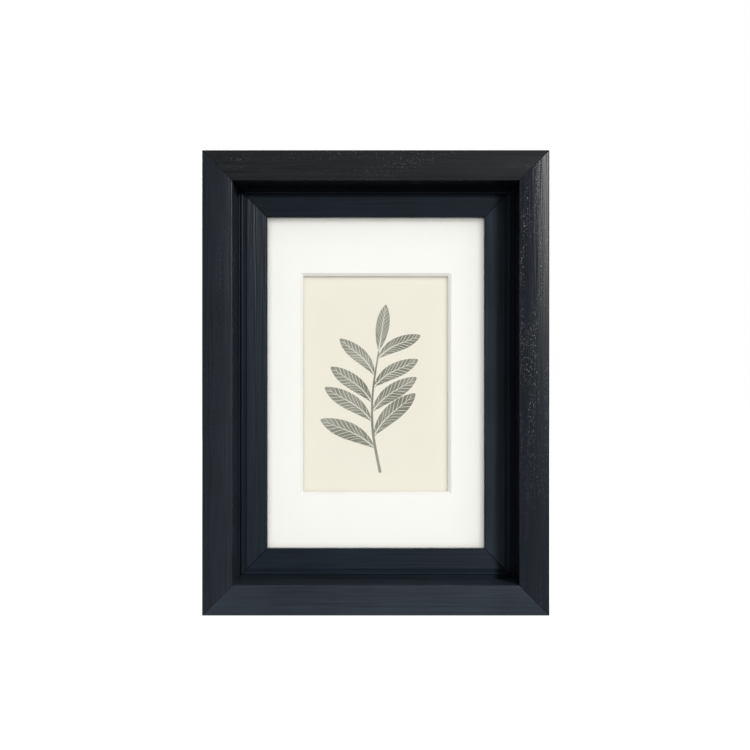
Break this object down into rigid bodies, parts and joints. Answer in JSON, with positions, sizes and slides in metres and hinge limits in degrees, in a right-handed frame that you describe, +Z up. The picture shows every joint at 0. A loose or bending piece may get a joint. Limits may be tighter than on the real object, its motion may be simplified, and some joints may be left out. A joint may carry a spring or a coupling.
{
  "type": "shadow box",
  "caption": "Deep rectangular box frame with a recessed slip, glazed window mount, spaced print and a backing board held by turn buttons.",
  "frame": {"origin": "centre of the bottom of the whole object's box, where the frame stands", "axes": "+Z up the frame's height, +X to the right as seen from the front, and the front faces -Y"},
  "size_m": [0.2234, 0.0468, 0.2994],
  "materials": {
    "outer_frame": "satin black lacquer over brushed wood, raw at the back",
    "slip": "satin black lacquer over brushed wood, raw at the back",
    "fixing_steel": "bright zinc-plated steel strip",
    "fixing_zinc": "yellow-passivated zinc on steel",
    "bumper": "matt black rubber",
    "glass": "clear picture glass",
    "mount_board": "white window mount board with a cream-white core",
    "spacer": "white foam-centred board",
    "print_paper": "uncoated cream paper with a grey-green leaf print",
    "card": "plain undermount card",
    "backing": "brown hardboard, smooth side out"
  },
  "bodies": {
    "frame": {"outer_rail_top": "outer_frame", "outer_rail_bottom": "outer_frame", "outer_rail_left": "outer_frame", "outer_rail_right": "outer_frame", "slip_rail_top": "slip", "slip_rail_bottom": "slip", "slip_rail_left": "slip", "slip_rail_right": "slip", "outer_v_nails": "fixing_steel", "slip_v_nails": "fixing_steel", "slip_pins": "fixing_steel", "hanger_top": "fixing_steel", "hanger_side": "fixing_steel", "hanger_nails": "fixing_steel", "bumper_pads": "bumper", "turn_button_screws": "fixing_zinc"},
    "glazing": {"glass_pane": "glass"},
    "window_set": {"window_mount": "mount_board", "spacer_top": "spacer", "spacer_bottom": "spacer", "spacer_left": "spacer", "spacer_right": "spacer"},
    "print_set": {"print_sheet": "print_paper", "mount_card": "card"},
    "back": {"backing_board": "backing"},
    "button_top_left": {"turn_button_top_left": "fixing_zinc"},
    "button_top_right": {"turn_button_top_right": "fixing_zinc"},
    "button_bottom_left": {"turn_button_bottom_left": "fixing_zinc"},
    "button_bottom_right": {"turn_button_bottom_right": "fixing_zinc"},
    "button_left_upper": {"turn_button_left_upper": "fixing_zinc"},
    "button_left_lower": {"turn_button_left_lower": "fixing_zinc"},
    "button_right_upper": {"turn_button_right_upper": "fixing_zinc"},
    "button_right_lower": {"turn_button_right_lower": "fixing_zinc"}
  },
  "joints": [
    {"name": "glass_slide", "type": "slide", "parent": "frame", "child": "glazing", "axis": [0, 1, 0], "range_m": [0, 0.03]},
    {"name": "window_mount_slide", "type": "slide", "parent": "glazing", "child": "window_set", "axis": [0, 1, 0], "range_m": [0, 0.03]},
    {"name": "print_slide", "type": "slide", "parent": "window_set", "child": "print_set", "axis": [0, 1, 0], "range_m": [0, 0.03]},
    {"name": "backing_board_slide", "type": "slide", "parent": "print_set", "child": "back", "axis": [0, 1, 0], "range_m": [0, 0.03]},
    {"name": "button_top_left_turn", "type": "hinge", "parent": "frame", "child": "button_top_left", "pos_m": [-0.04775, 0.01715, 0.26995], "axis": [0, -1, 0], "range_deg": [0, 90]},
    {"name": "button_top_right_turn", "type": "hinge", "parent": "frame", "child": "button_top_right", "pos_m": [0.04775, 0.01715, 0.26995], "axis": [0, 1, 0], "range_deg": [0, 90]},
    {"name": "button_bottom_left_turn", "type": "hinge", "parent": "frame", "child": "button_bottom_left", "pos_m": [-0.04775, 0.01715, 0.02945], "axis": [0, 1, 0], "range_deg": [0, 90]},
    {"name": "button_bottom_right_turn", "type": "hinge", "parent": "frame", "child": "button_bottom_right", "pos_m": [0.04775, 0.01715, 0.02945], "axis": [0, -1, 0], "range_deg": [0, 90]},
    {"name": "button_left_upper_turn", "type": "hinge", "parent": "frame", "child": "button_left_upper", "pos_m": [-0.08225, 0.01715, 0.21545], "axis": [0, 1, 0], "range_deg": [0, 90]},
    {"name": "button_left_lower_turn", "type": "hinge", "parent": "frame", "child": "button_left_lower", "pos_m": [-0.08225, 0.01715, 0.08395], "axis": [0, -1, 0], "range_deg": [0, 90]},
    {"name": "button_right_upper_turn", "type": "hinge", "parent": "frame", "child": "button_right_upper", "pos_m": [0.08225, 0.01715, 0.21545], "axis": [0, -1, 0], "range_deg": [0, 90]},
    {"name": "button_right_lower_turn", "type": "hinge", "parent": "frame", "child": "button_right_lower", "pos_m": [0.08225, 0.01715, 0.08395], "axis": [0, 1, 0], "range_deg": [0, 90]}
  ]
}
